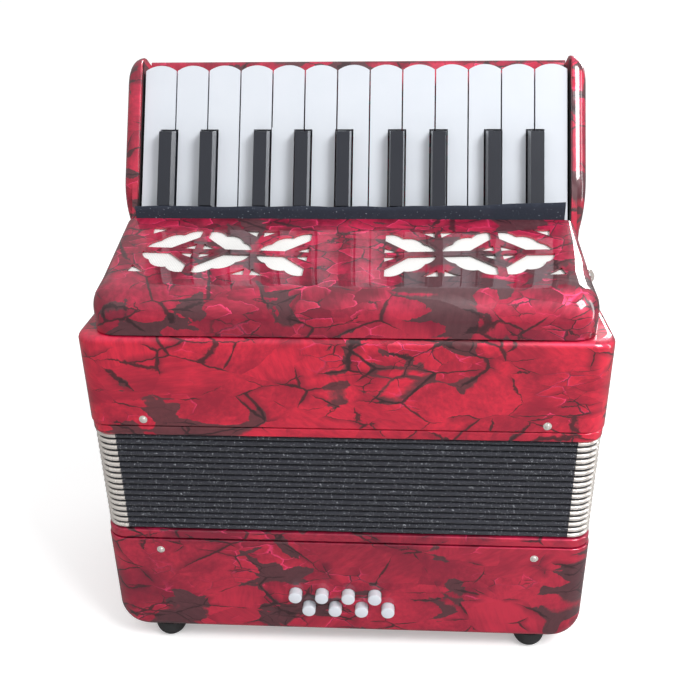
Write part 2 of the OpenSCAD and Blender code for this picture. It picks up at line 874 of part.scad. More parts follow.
bass_casework();
bass_end_cover();
bass_cover_screws();
bass_feet();
bass_strap();
bass_strap_fittings();
bass_soundboard();
bass_reed_block();
bass_reed_plates();
bass_valve_plate();
bass_button_springs();
bass_bellows_frame();
bass_bellows_pins();
bellows_pleats();
bellows_corners();
bellows_straps();
treble_bellows_frame();
treble_bellows_pins();
treble_casework();
treble_soundboard();
treble_reed_blocks();
treble_reed_plates();
grille();
grille_cloth();
keyboard_base();
key_axle();
key_springs();
key_felt_strip();
strap_brackets();
air_button();
bass_button(0);  // bass_button_1
bass_button(1);  // bass_button_2
bass_button(2);  // bass_button_3
bass_button(3);  // bass_button_4
bass_button(4);  // bass_button_5
bass_button(5);  // bass_button_6
bass_button(6);  // bass_button_7
bass_button(7);  // bass_button_8
key(0);  // key_01
key(1);  // key_02
key(2);  // key_03
key(3);  // key_04
key(4);  // key_05
key(5);  // key_06
key(6);  // key_07
key(7);  // key_08
key(8);  // key_09
key(9);  // key_10
key(10);  // key_11
key(11);  // key_12
key(12);  // key_13
key(13);  // key_14
key(14);  // key_15
key(15);  // key_16
key(16);  // key_17
key(17);  // key_18
key(18);  // key_19
key(19);  // key_20
key(20);  // key_21
key(21);  // key_22
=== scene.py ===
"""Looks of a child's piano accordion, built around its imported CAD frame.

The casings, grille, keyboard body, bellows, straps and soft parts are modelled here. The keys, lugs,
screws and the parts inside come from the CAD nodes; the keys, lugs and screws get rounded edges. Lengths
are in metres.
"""

import json
import math

import bmesh
import bpy
from mathutils import Matrix, Vector, noise

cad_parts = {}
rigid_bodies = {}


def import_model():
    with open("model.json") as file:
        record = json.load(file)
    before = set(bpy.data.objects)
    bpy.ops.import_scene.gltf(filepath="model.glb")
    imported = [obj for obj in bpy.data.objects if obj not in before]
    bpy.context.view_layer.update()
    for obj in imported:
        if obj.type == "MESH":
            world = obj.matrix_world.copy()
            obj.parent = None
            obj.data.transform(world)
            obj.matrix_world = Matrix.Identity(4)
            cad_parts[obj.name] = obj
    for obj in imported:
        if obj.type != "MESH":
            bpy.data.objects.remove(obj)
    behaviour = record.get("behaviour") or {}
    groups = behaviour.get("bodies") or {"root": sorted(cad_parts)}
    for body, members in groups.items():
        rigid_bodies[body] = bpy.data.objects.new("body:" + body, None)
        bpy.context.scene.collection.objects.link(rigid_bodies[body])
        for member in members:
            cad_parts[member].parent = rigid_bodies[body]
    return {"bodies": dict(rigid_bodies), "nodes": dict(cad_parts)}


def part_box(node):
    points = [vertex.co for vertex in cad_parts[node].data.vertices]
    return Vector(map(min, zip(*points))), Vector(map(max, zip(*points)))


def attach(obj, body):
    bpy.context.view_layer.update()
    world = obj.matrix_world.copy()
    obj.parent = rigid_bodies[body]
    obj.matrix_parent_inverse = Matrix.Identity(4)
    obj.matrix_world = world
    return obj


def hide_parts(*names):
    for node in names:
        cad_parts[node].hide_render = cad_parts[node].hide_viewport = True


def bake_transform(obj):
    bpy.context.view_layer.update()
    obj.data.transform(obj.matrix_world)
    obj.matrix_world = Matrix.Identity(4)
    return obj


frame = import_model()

MM = 0.001
BASS = "bass_section"
TREBLE = "treble_section"
ACROSS = Vector((0, 1, 0))
QUADRANTS = [(sx, sy) for sx in (-1, 1) for sy in (-1, 1)]


def clear_startup():
    """Removes whatever the start-up file holds besides the frame."""
    ours = set(frame["nodes"].values()) | set(frame["bodies"].values())
    for obj in list(bpy.data.objects):
        if obj not in ours:
            bpy.data.objects.remove(obj)


def box_of(node):
    """A node's low and high corners and its middle."""
    low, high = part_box(node)
    return low, high, (low + high) / 2


clear_startup()
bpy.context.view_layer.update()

# ---- Sizes read from the frame ----

case_low, case_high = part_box("bass_casework")
treble_low, treble_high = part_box("treble_casework")
grille_low, grille_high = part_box("grille")
body_low, body_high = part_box("keyboard_base")
fold_low, fold_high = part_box("bellows_corners")
pleats_low, pleats_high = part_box("bellows_pleats")
felt_low, felt_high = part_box("key_felt_strip")
axle = box_of("key_axle")[2]

HALF_W = case_high.x
HALF_D = case_high.y
CORNER = 12 * MM
WALL = 6 * MM
BELLOWS_LOW = pleats_low.z
BELLOWS_HIGH = pleats_high.z
FOLDS = 17
FOLD_PITCH = (BELLOWS_HIGH - BELLOWS_LOW) / FOLDS
FOLD_T = FOLD_PITCH * 0.775
FOLD_W = fold_high.x
FOLD_D = fold_high.y
CORNER_ARM = 14 * MM
GRILLE_SLOPE = math.radians(20)
GRILLE_ROUND = 12 * MM
GRILLE_BACK_ROUND = 5 * MM
LEAN = math.radians(30)
KEYS_X = (body_low.x + body_high.x) / 2
CHEEK_OUT = (body_high.x - body_low.x) / 2
CHEEK_T = 9 * MM
KEY_T = 11 * MM
AXLE_S = 14 * MM  # how far the axle lies below the visible end of the keys
AXLE_Q = 8 * MM  # how far it lies into them
KEYS_Y = axle.y + AXLE_S * math.sin(LEAN) - AXLE_Q * math.cos(LEAN)
KEYS_Z = axle.z + AXLE_S * math.cos(LEAN) + AXLE_Q * math.sin(LEAN)


# ---- Mesh tools ----


def new_object(name, data):
    """An object in the scene."""
    obj = bpy.data.objects.new(name, data)
    bpy.context.scene.collection.objects.link(obj)
    return obj


def mesh_object(name, vertices, faces, material, smooth_angle=35):
    """A new object whose faces are smooth, with sharp edges above an angle in degrees."""
    mesh = bpy.data.meshes.new(name)
    mesh.from_pydata([tuple(v) for v in vertices], [], faces)
    mesh.validate()
    build = bmesh.new()
    build.from_mesh(mesh)
    bmesh.ops.recalc_face_normals(build, faces=build.faces)
    build.to_mesh(mesh)
    build.free()
    obj = new_object(name, mesh)
    mesh.materials.append(material)
    shade(obj, smooth_angle)
    return obj


def shade(obj, smooth_angle):
    """Smooth faces, with sharp edges above an angle in degrees."""
    build = bmesh.new()
    build.from_mesh(obj.data)
    limit = math.radians(smooth_angle)
    for face in build.faces:
        face.smooth = True
    for edge in build.edges:
        edge.smooth = len(edge.link_faces) == 2 and edge.calc_face_angle(0) < limit
    build.to_mesh(obj.data)
    build.free()


def bevel(obj, width, segments, angle):
    """Rounds the edges sharper than angle, keeping flat faces flat."""
    made = obj.modifiers.new("round", "BEVEL")
    made.width = width
    made.segments = segments
    made.limit_method = "ANGLE"
    made.angle_limit = math.radians(angle)
    made.miter_outer = "MITER_ARC"
    made.harden_normals = True


def flat_normals(obj):
    """Keeps large flat faces from shading like curved ones."""
    made = obj.modifiers.new("normals", "WEIGHTED_NORMAL")
    made.keep_sharp = True
    made.weight = 90


def round_rect(half_x, half_y, radius, steps=10):
    """Corner points of a rounded rectangle, anticlockwise."""
    points = []
    for sx, sy, start in ((1, 1, 0), (-1, 1, 90), (-1, -1, 180), (1, -1, 270)):
        for k in range(steps + 1):
            turn = math.radians(start + 90 * k / steps)
            x = sx * (half_x - radius) + radius * math.cos(turn)
            y = sy * (half_y - radius) + radius * math.sin(turn)
            points.append((x, y))
    return points


def quarter(steps):
    """Angles from 0 to a right angle, in radians."""
    return [math.pi / 2 * k / steps for k in range(steps + 1)]


def arc(x, y, radius, start, end, steps):
    """Points on an arc, angles in degrees."""
    turns = [math.radians(start + (end - start) * k / steps) for k in range(steps + 1)]
    return [(x + radius * math.cos(t), y + radius * math.sin(t)) for t in turns]


def lifted(outline, z):
    """A plan outline at a height."""
    return [(x, y, z) for x, y in outline]


def sideways(outline, places):
    """A side outline of (y, z) points at several x: rings for a skin."""
    return [[(x, y, z) for y, z in outline] for x in places]


def skin(rings, closed_path=True, closed_loft=False, caps=True):
    """Vertices and faces of a skin over rings that have the same number of points."""
    count = len(rings[0])
    vertices = [p for ring in rings for p in ring]
    faces = []
    spans = len(rings) if closed_loft else len(rings) - 1
    sides = count if closed_path else count - 1
    for i in range(spans):
        a, b = i * count, ((i + 1) % len(rings)) * count
        for j in range(sides):
            k = (j + 1) % count
            faces.append((a + j, a + k, b + k, b + j))
    if caps and not closed_loft:
        faces.append(tuple(range(count)))
        faces.append(tuple(range(len(vertices) - count, len(vertices))))
    return vertices, faces


def merge(parts):
    """One vertex and face list from several."""
    vertices, faces = [], []
    for some_vertices, some_faces in parts:
        base = len(vertices)
        vertices.extend(some_vertices)
        faces.extend(tuple(base + i for i in face) for face in some_faces)
    return vertices, faces


def lathe(profile, centre, axis, steps=32):
    """A solid of revolution: profile is (radius, height along axis) from one end to the other."""
    axis = Vector(axis).normalized()
    side = axis.orthogonal().normalized()
    other = axis.cross(side)
    rings = []
    for radius, height in profile:
        ring = []
        for k in range(steps):
            turn = 2 * math.pi * k / steps
            spoke = side * math.cos(turn) + other * math.sin(turn)
            ring.append(Vector(centre) + axis * height + spoke * max(radius, 1e-5))
        rings.append(ring)
    return skin(rings)


def cut(obj, cutter_parts):
    """Cuts closed shapes out of obj."""
    cutter = mesh_object(obj.name + "_cutter", *merge(cutter_parts), obj.data.materials[0])
    made = obj.modifiers.new("cut", "BOOLEAN")
    made.operation = "DIFFERENCE"
    made.solver = "EXACT"
    made.object = cutter
    graph = bpy.context.evaluated_depsgraph_get()
    mesh = bpy.data.meshes.new_from_object(obj.evaluated_get(graph))
    obj.modifiers.clear()
    obj.data = mesh
    bpy.data.objects.remove(cutter)


def dress(obj, body, slot, *nodes):
    """Sets the body of a finished piece and hides the CAD nodes that it stands for. slot is not used."""
    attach(obj, body)
    if nodes:
        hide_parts(*nodes)


# ---- Material tools ----

HALF = (0.5, 0.5, 0.5)


class Value:
    """A node's output. Sums and products with numbers, vectors or other outputs add math nodes."""

    def __init__(self, socket):
        self.socket = socket
        self.is_vector = socket.type != "VALUE"

    def __add__(self, other):
        return self.combine("ADD", self, other)

    def __sub__(self, other):
        return self.combine("SUBTRACT", self, other)

    def __rsub__(self, other):
        return self.combine("SUBTRACT", other, self)

    def __mul__(self, other):
        if self.is_vector:
            return add("VectorMath", {0: self, "Scale": other}, operation="SCALE")
        return self.combine("MULTIPLY", self, other)

    def combine(self, operation, a, b):
        """The result of a math node on a and b."""
        kind = "VectorMath" if self.is_vector else "Math"
        return add(kind, {0: a, 1: b}, operation=operation)

    def output(self, key):
        """Another output of the same node."""
        return Value(self.socket.node.outputs[key])


def feed(node, inputs):
    """Links or sets a node's inputs. A colour may leave out its alpha."""
    for key, value in inputs.items():
        socket = node.inputs[key]
        if isinstance(value, Value):
            node.id_data.links.new(value.socket, socket)
        else:
            socket.default_value = (*value, 1) if socket.type == "RGBA" else value


def add(kind, inputs, output=0, **settings):
    """An output of a new node. At least one of its inputs is another node's output."""
    tree = next(value.socket.id_data for value in inputs.values() if isinstance(value, Value))
    made = tree.nodes.new("ShaderNode" + kind)
    for name, value in settings.items():
        setattr(made, name, value)
    feed(made, inputs)
    return Value(made.outputs[output])


def source(tree, kind, output):
    """An output of a new node that has no inputs."""
    return Value(tree.nodes.new("ShaderNode" + kind).outputs[output])


def new_material(name):
    """A material with one Principled shader, and its node tree."""
    material = bpy.data.materials.new(name)
    material.use_nodes = True
    return material, material.node_tree


def finish(material, **inputs):
    """Feeds the shader's inputs, named with _ for spaces."""
    shader = material.node_tree.nodes["Principled BSDF"]
    feed(shader, {name.replace("_", " "): value for name, value in inputs.items()})
    return material


def smaller(a, b):
    """The smaller of two numbers."""
    return a.combine("MINIMUM", a, b)


def larger(a, b):
    """The larger of two numbers."""
    return a.combine("MAXIMUM", a, b)


def dot(a, b):
    """The dot product of two vectors."""
    return add("VectorMath", {0: a, 1: b}, "Value", operation="DOT_PRODUCT")


def unit(vector):
    """A vector scaled to length 1."""
    return add("VectorMath", {0: vector}, operation="NORMALIZE")


def mix(factor, a, b):
    """A colour: a at factor 0, b at factor 1."""
    return add("Mix", {0: factor, 6: a, 7: b}, 2, data_type="RGBA")


def spread(value, low, high, to_low=0.0, to_high=1.0):
    """Maps value smoothly from low..high to to_low..to_high."""
    inputs = {"Value": value, "From Min": low, "From Max": high, "To Min": to_low, "To Max": to_high}
    return add("MapRange", inputs, interpolation_type="SMOOTHSTEP")


def place_in(tree, shift=(0, 0, 0), scale=(1, 1, 1)):
    """Object coordinates, moved and scaled."""
    coords = source(tree, "TexCoord", "Object")
    return add("Mapping", {"Vector": coords, "Location": shift, "Scale": scale})


def noise_at(place, scale, detail=2.0, roughness=0.5, distortion=0.0, output=0):
    """A noise texture."""
    inputs = {"Vector": place, "Scale": scale, "Detail": detail}
    inputs |= {"Roughness": roughness, "Distortion": distortion}
    return add("TexNoise", inputs, output)


def cells_at(place, scale, feature="F1"):
    """A texture of angular cells."""
    return add("TexVoronoi", {"Vector": place, "Scale": scale}, feature=feature)


def bump(height, strength, distance, **inputs):
    """A surface normal, tipped by a height."""
    return add("Bump", {"Height": height, "Strength": strength, "Distance": distance} | inputs)


# ---- Materials ----


def shards(place, turn, scale):
    """Long angular cells: their colours, how far a point lies to one side in them, their edge distance."""
    laid = add("Mapping", {"Vector": place, "Rotation": turn, "Scale": (1, 2.1, 2.1)})
    cells = cells_at(laid, scale)
    colour = cells.output("Color")
    side = dot(laid - cells.output("Position"), colour - HALF)
    return colour, side, cells_at(laid, scale, "DISTANCE_TO_EDGE")


def celluloid(name, shift, tone, crumple, crown=0.0):
    """Pearl celluloid: a red film with dark stars and broken crack lines under a clear gloss.

    shift moves the pattern, tone scales the red, crumple (0 to 1) is how much of it is crumpled,
    crown tips the gloss of faces that look up towards the back, more so at the front.
    """
    material, tree = new_material(name)
    place = place_in(tree, shift)
    shake = (noise_at(place, 210, 3, 0.6, output="Color") - HALF) * 0.0022
    drift = (noise_at(place, 20, 1, output="Color") - HALF) * 0.012
    warped = place + drift + shake
    rising, rising_side, rising_edge = shards(warped, (0.5, 0.55, 0.6), 20)
    _, falling_side, falling_edge = shards(warped, (-0.4, -0.75, -0.5), 27)
    small, small_side, small_edge = shards(warped, (0.9, -0.3, 0.2), 68)

    # Brushed streaks that run a different way in each shard
    turn = {"Vector": place, "Rotation": rising * 6.3}
    turned = add("VectorRotate", turn, rotation_type="EULER_XYZ")
    streak = noise_at(add("Mapping", {"Vector": turned, "Scale": (1, 8, 8)}), 45, 4, 0.65)
    centred = streak - 0.5

    # Soft clouds over the whole film, and painted shading: each shard, and each crease where it is
    # crumpled, is lighter on one side and darker on the other
    crumpled = spread(noise_at(place, 17), 0.62 - 0.22 * crumple, 0.72 - 0.22 * crumple)
    clouds_and_painted_shade = noise_at(place, 26, 3, 0.55) + (rising_side + falling_side) * 5.5
    clouds_and_painted_shade = spread(clouds_and_painted_shade + small_side * 30.0 * crumpled + centred * 0.5, 0.2, 0.75)

    # Dark stars: wide along some cracks, tapering away, crisp on one side and feathered on the other
    nearest = smaller(rising_edge, falling_edge * 1.2)
    star_width = spread(noise_at(place, 24, 1.5, 0.5, 0.6), 0.515 - 0.035 * crumple, 0.7, 0.0, 0.25)
    softness = spread(rising_side, -0.004, 0.004, 0.92, 0.3)
    star = spread(nearest + centred * 0.1, star_width, star_width * softness)
    star = star * spread(star_width, 0.004, 0.03)

    # Thin cracks that come and go, with a soft shadow on one side, and finer ones in the creases
    cracks, shadows = [], []
    for edge, side, scale, widest in (
        (rising_edge, rising_side, 37, 0.03),
        (falling_edge, falling_side, 46, 0.034),
    ):
        shown = noise_at(place, scale, 1)
        width = spread(shown, 0.48, 0.64, 0.001, widest)
        cracks.append(spread(edge, width, width * 0.3) * spread(shown, 0.48, 0.52))
        shadow = spread(edge, 0.16, 0.0) * spread(side, 0.0, 0.005)
        shadows.append(shadow * spread(shown, 0.44, 0.54))
    shown = noise_at(place, 60, 1)
    width = spread(shown, 0.44, 0.62, 0.001, 0.05)
    fine = spread(small_edge, width, width * 0.3) * (crumpled * spread(shown, 0.44, 0.48))
    crack = larger(larger(*cracks), fine)

    surface = source(tree, "NewGeometry", "Normal")
    upward = add("SeparateXYZ", {0: surface}, "Z")
    red = mix(clouds_and_painted_shade, (0.36 * tone, 0.01, 0.04), (0.82 * tone, 0.024, 0.068))
    # Painted sheen: faces that look up are tinted towards magenta, standing in for the pearl's reflection
    # on top faces
    painted_top_sheen = mix(clouds_and_painted_shade, (0.15 * tone, 0.004, 0.018), (0.8 * tone, 0.012, 0.09))
    red = mix(spread(upward, 0.15, 0.9, 0.0, 0.7), red, painted_top_sheen)
    red = mix(larger(*shadows) * 0.6, red, (0.14 * tone, 0.01, 0.03))
    # Painted highlight: hot-pink glints on one side of the fine crease lines, where the film is crumpled
    painted_glint = spread(small_side, 0.0, 0.003) * spread(small_edge, 0.08, 0.01) * (crumpled * 0.9)
    red = mix(painted_glint, red, (1.0, 0.05, 0.19))
    brown = mix(streak, (0.06 * tone, 0.012, 0.018), (0.16 * tone, 0.032, 0.044))

    tipped = surface + (rising - HALF) * (0.06 + 0.16 * crumple) + (small - HALF) * (crumpled * 0.25)
    if crown:
        depth, rear = add("SeparateXYZ", {0: place_in(tree)}, "Y"), grille_high.y
        lean = spread(depth, rear - 50 * MM, rear, crown, 0.4 * crown)
        push = add("CombineXYZ", {1: spread(upward, 0.6, 0.92) * lean})
        finish(material, Coat_Normal=unit(surface + push))
    return finish(
        material,
        Base_Color=mix(crack * 0.9, mix(star, red, brown), (0.03, 0.005, 0.009)),
        Metallic=0.4 - larger(star, crack) * 0.35,
        Roughness=spread(streak, 0.2, 0.8, 0.34, 0.46),
        Normal=bump(streak, 0.1, 0.5 * MM, Normal=unit(tipped)),
        Coat_Weight=1.0,
        Coat_Roughness=0.02,
        Coat_IOR=1.6,
    )


def nickel():
    """Bright nickel plate with faint wear."""
    material, tree = new_material("nickel")
    cloud = noise_at(place_in(tree), 180, 4)
    scratch = noise_at(place_in(tree, scale=(1, 1, 9)), 500)
    return finish(
        material,
        Base_Color=mix(cloud, (0.78, 0.73, 0.68), (0.97, 0.92, 0.87)),
        Metallic=0.6,
        Roughness=spread(cloud, 0.3, 0.7, 0.14, 0.3),
        Normal=bump(scratch, 0.06, 0.1 * MM),
    )


def woven(name, dark, light, thread, lift):
    """Plain weave on upright faces, with the odd bright thread. lift is how bright those are."""
    material, tree = new_material(name)
    place = place_in(tree)
    x, y, z = (add("SeparateXYZ", {0: place}, axis) for axis in "XYZ")
    waves = []
    for way in (x + y, z):
        waves.append(add("Math", {0: way * (2 * math.pi / thread)}, operation="SINE"))
    height = waves[0] * waves[1] * 0.5 + 0.5
    fleck = spread(noise_at(place, 900, 3, 0.7), 0.58, 0.68)
    # Painted shade: darker in the weave's hollows and lighter on its crossings, mixed with uneven tone from
    # noise
    colour = mix((height + noise_at(place, 45, 3)) * 0.5, dark, light)
    bright = tuple(0.45 * a + 0.55 * b for a, b in zip(light, (0.5, 0.52, 0.56)))
    return finish(
        material,
        Base_Color=mix(fleck * lift, colour, bright),
        Roughness=spread(height, 0, 1, 0.85, 0.62),
        Normal=bump(height, 0.5, 0.25 * MM),
        Sheen_Weight=0.15,
        Sheen_Roughness=0.5,
    )


def felt():
    """Navy felt with a fuzzy nap and a few pale flecks."""
    material, tree = new_material("felt")
    place = place_in(tree)
    fuzz = noise_at(place, 1400, 4, 0.75)
    colour = mix(fuzz, (0.008, 0.011, 0.02), (0.03, 0.038, 0.06))
    colour = mix(spread(noise_at(place, 120, 3), 0.5, 0.7, 0, 0.3), colour, (0.04, 0.048, 0.07))
    return finish(
        material,
        Base_Color=mix(spread(noise_at(place, 1100, 1), 0.7, 0.76), colour, (0.25, 0.28, 0.33)),
        Roughness=0.95,
        Normal=bump(fuzz, 0.7, 0.3 * MM),
        Sheen_Weight=0.2,
        Sheen_Roughness=0.4,
        Sheen_Tint=(0.3, 0.36, 0.5),
    )


def leather():
    """Black grained leather, paler where the strap's surface is worn."""
    material, tree = new_material("strap_leather")
    place = place_in(tree)
    cloud = noise_at(place, 70, 4)
    colour = mix(cloud, (0.012, 0.012, 0.014), (0.035, 0.034, 0.036))
    return finish(
        material,
        Base_Color=mix(spread(cloud, 0.58, 0.75, 0, 0.4), colour, (0.1, 0.095, 0.09)),
        Roughness=spread(cloud, 0.3, 0.7, 0.42, 0.6),
        Normal=bump(spread(cells_at(place, 850, "DISTANCE_TO_EDGE"), 0.0, 0.25), 0.45, 0.15 * MM),
    )


def ivory(name, low, high, gloss):
    """Gloss plastic with a slight cloudiness."""
    material, tree = new_material(name)
    colour = mix(noise_at(place_in(tree), 60, 3), low, high)
    return finish(material, Base_Color=colour, Roughness=gloss, Coat_Weight=0.5, Coat_Roughness=0.05)


def rubber():
    """Matt black rubber."""
    material, tree = new_material("rubber_black")
    dust = noise_at(place_in(tree), 700, 4, 0.6)
    return finish(
        material,
        Base_Color=mix(dust, (0.012, 0.012, 0.013), (0.04, 0.04, 0.042)),
        Roughness=spread(dust, 0.3, 0.7, 0.5, 0.7),
        Normal=bump(dust, 0.15, 0.1 * MM),
    )


def spruce():
    """Straight-grained pale wood."""
    material, tree = new_material("spruce")
    rings = noise_at(place_in(tree, scale=(1, 12, 12)), 45, 4, 0.6, 0.4)
    fibre = noise_at(place_in(tree, scale=(2, 60, 60)), 60)
    colour = mix(rings, (0.42, 0.25, 0.11), (0.72, 0.52, 0.3))
    colour = mix(fibre * 0.4, colour, (0.5, 0.33, 0.17))
    return finish(material, Base_Color=colour, Roughness=0.6, Normal=bump(fibre, 0.2, 0.1 * MM))


def brushed(name, low, high):
    """Brushed metal."""
    material, tree = new_material(name)
    lines = noise_at(place_in(tree, scale=(1, 1, 14)), 400, 3)
    return finish(
        material,
        Base_Color=mix(lines, low, high),
        Metallic=1.0,
        Roughness=spread(lines, 0.3, 0.7, 0.25, 0.45),
        Normal=bump(lines, 0.1, 0.05 * MM),
    )


pearl_bass = celluloid("pearl_bass", (0.31, 0.12, 0.05), 0.85, 0.5)
pearl_treble = celluloid("pearl_treble", (0.0, 0.0, 0.0), 1.15, 0.48)
pearl_grille = celluloid("pearl_grille", (0.17, 0.41, 0.23), 0.85, 1.0, 0.25)
pearl_body = celluloid("pearl_body", (0.63, 0.2, 0.44), 0.9, 0.7)
plate = nickel()
tape = woven("bellows_tape", (0.006, 0.007, 0.012), (0.034, 0.036, 0.052), 1.1 * MM, 0.9)
fold_cloth = woven("bellows_cloth", (0.01, 0.01, 0.014), (0.035, 0.036, 0.045), 0.8 * MM, 0.15)
grille_weave = woven("grille_cloth", (0.55, 0.55, 0.54), (0.92, 0.92, 0.9), 1.3 * MM, 0.0)
felt_navy = felt()
leather_black = leather()
key_white = ivory("key_white", (0.6, 0.635, 0.69), (0.64, 0.67, 0.72), 0.2)
key_black = ivory("key_black", (0.012, 0.014, 0.022), (0.018, 0.021, 0.03), 0.2)
strip_black = ivory("strip_black", (0.004, 0.004, 0.005), (0.01, 0.01, 0.012), 0.5)
rubber_black = rubber()
wood = spruce()
reed_metal = brushed("reed_metal", (0.4, 0.4, 0.42), (0.75, 0.75, 0.77))
brass = brushed("spring_brass", (0.55, 0.38, 0.12), (0.85, 0.65, 0.3))


# ---- Casings ----

BASS_END = 14 * MM
BASS_EDGE = 5 * MM
TREBLE_EDGE = 4 * MM
RIM_EDGE = 0.8 * MM


def edge_inset(distance, radius):
    """How far a rounded edge lies in, at a distance from the end face."""
    if distance >= radius:
        return 0.0
    return radius - math.sqrt(radius**2 - (radius - distance) ** 2)


def casing_rings(closed_z, open_z, round_x, round_y):
    """Rings of an open box from its closed end to its rim and down inside."""
    way = 1 if open_z > closed_z else -1
    rings = []
    for turn in quarter(16):
        distance = max(round_x, round_y) * (1 - math.cos(turn))
        half_x = HALF_W - edge_inset(distance, round_x)
        half_y = HALF_D - edge_inset(distance, round_y)
        rings.append(lifted(round_rect(half_x, half_y, CORNER), closed_z + way * distance))
    levels = [
        (RIM_EDGE * (1 - math.cos(turn)), open_z - way * RIM_EDGE * (1 - math.sin(turn)))
        for turn in quarter(3)
    ]
    for inset, z in levels + [(WALL, open_z), (WALL, closed_z + way * WALL)]:
        rings.append(lifted(round_rect(HALF_W - inset, HALF_D - inset, CORNER - inset), z))
    return rings


def bore(radius, centre, axis):
    """A cutter for a round hole through a wall."""
    return lathe([(radius, -10 * MM), (radius, 10 * MM)], centre, axis)


def bass_casing():
    """Bass box with holes for the buttons and the air button."""
    rings = casing_rings(case_low.z, case_high.z, BASS_END, BASS_EDGE)
    shell = mesh_object("bass_casing", *skin(rings), pearl_bass, 40)
    cutters = []
    for n in range(1, 9):
        middle = box_of(f"bass_button_{n}")[2]
        cutters.append(bore(4.3 * MM, (middle.x, case_low.y, middle.z), (0, 1, 0)))
    middle = box_of("air_button")[2]
    cutters.append(bore(6.3 * MM, (middle.x, middle.y, case_low.z), (0, 0, 1)))
    cut(shell, cutters)
    shade(shell, 40)
    flat_normals(shell)
    dress(shell, BASS, "pearl_red", "bass_casework")


def treble_casing():
    """Treble box."""
    rings = casing_rings(treble_high.z, treble_low.z, TREBLE_EDGE, TREBLE_EDGE)
    shell = mesh_object("treble_casing", *skin(rings), pearl_treble, 40)
    flat_normals(shell)
    dress(shell, TREBLE, "pearl_red", "treble_casework")


def bellows_frame(name, node, low_z, high_z, material, body):
    """A frame between a box and the bellows, set in a little, with rounded edges."""
    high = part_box(node)[1]
    edge, inner = 1.2 * MM, 12 * MM
    turns = quarter(4)
    levels = [(turn, low_z + edge * (1 - math.cos(turn))) for turn in turns]
    levels += [(turn, high_z - edge * (1 - math.cos(turn))) for turn in reversed(turns)]
    rings = []
    for turn, z in levels:
        inset = edge * (1 - math.sin(turn))
        rings.append(lifted(round_rect(high.x - inset, high.y - inset, CORNER - inset), z))
    for z in (high_z, low_z):
        rings.append(lifted(round_rect(high.x - inner, high.y - inner, 3 * MM), z))
    made = mesh_object(name, *skin(rings, closed_loft=True), material, 50)
    flat_normals(made)
    dress(made, body, "frame_red", node)


def feet():
    """Four domed rubber feet on the bass end."""
    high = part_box("bass_feet")[1]
    radius, flat, dome = 9.3 * MM, 5.5 * MM, 7.5 * MM
    top = case_low.z
    profile = [(0, 0), (flat, 0)]
    steepest = -math.degrees(math.atan2(dome, flat))
    profile += arc(0, dome, math.hypot(flat, dome), steepest, 0, 10)
    profile += [(radius, top - 0.8 * MM), (radius - 0.8 * MM, top - 0.05 * MM), (0, top - 0.05 * MM)]
    x, y = high.x - radius, high.y - radius
    parts = [lathe(profile, (sx * x, sy * y, 0), (0, 0, 1), 40) for sx, sy in QUADRANTS]
    made = mesh_object("rubber_feet", *merge(parts), rubber_black, 45)
    dress(made, BASS, "rubber_black", "bass_feet")


# ---- Buttons and pins ----


def button(n):
    """Bass button with a domed end, its rod and its valve disc."""
    node = f"bass_button_{n}"
    low, high, middle = box_of(node)
    radius, edge = 3.9 * MM, 0.8 * MM
    deep = high.y - low.y
    profile = [(0, 0), (radius * 0.35, 0.06 * MM), (radius * 0.6, 0.2 * MM)]
    profile += [(radius - edge + r, edge + 0.35 * MM + h) for r, h in arc(0, 0, edge, -80, 0, 5)]
    profile += [(radius, 12.5 * MM), (2 * MM, 12.6 * MM), (2 * MM, deep - 2.6 * MM)]
    profile += [(5 * MM, deep - 2.5 * MM), (5 * MM, deep), (0, deep)]
    solid = lathe(profile, (middle.x, low.y, middle.z), (0, 1, 0))
    made = mesh_object(f"button_{n}", *solid, key_white, 45)
    dress(made, node, "key_white", node)


def pins(name, node, body):
    """Round-headed pins that hold the bellows, front and back."""
    low, high, middle = box_of(node)
    radius = (high.z - low.z) / 2
    x = high.x - radius
    rise = high.y - HALF_D
    dome = [(0.62 * math.sin(turn), 0.75 * (1 - math.cos(turn)) - 1) for turn in quarter(8)]
    profile = [(radius * r, rise * h) for r, h in dome + [(0.9, -0.2), (1, -0.08)]]
    profile += [(radius, 0.2 * MM), (0, 0.2 * MM)]
    parts = [lathe(profile, (sx * x, sy * HALF_D, middle.z), (0, -sy, 0), 24) for sx, sy in QUADRANTS]
    made = mesh_object(name, *merge(parts), plate, 50)
    dress(made, body, "nickel", node)


# ---- Bellows ----


def fold_at(k):
    """Height of the middle of fold k."""
    return BELLOWS_LOW + (k + 0.5) * FOLD_PITCH


def share_at(z):
    """How far up the bellows a height lies, 0 to 1."""
    return (z - BELLOWS_LOW) / (BELLOWS_HIGH - BELLOWS_LOW)


def smooth_time(share):
    """The time at which a smooth step reaches a share."""
    return 0.5 - math.sin(math.asin(max(-1.0, min(1.0, 1 - 2 * share))) / 3)


def stretch_block(obj, share):
    """Bakes the piece's place into its mesh. Following the bellows as one block, at a share of their
    opening, is worked out but not applied.
    """
    long = 1000.0  # so long that the share is the same all over the piece
    start = (BELLOWS_LOW + BELLOWS_HIGH) / 2 - smooth_time(share) * long
    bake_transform(obj)


def stretch_web(obj, low_z, high_z):
    """Bakes the piece's place into its mesh. Its stretch between the folds at low_z and high_z is worked
    out but not applied.
    """
    low_t, high_t = smooth_time(share_at(low_z)), smooth_time(share_at(high_z))
    long = (high_z - low_z) / (high_t - low_t)
    start = low_z - low_t * long
    start + long
    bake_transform(obj)


def bellows_ring(sections):
    """A ring around the bellows: sections are (inset, height) points of its cross-section."""
    rings = []
    for inset, z in sections:
        outline = round_rect(FOLD_W - inset, FOLD_D - inset, max(CORNER - inset, 0.5 * MM), 8)
        rings.append(lifted(outline, z))
    return skin(rings, closed_loft=True)


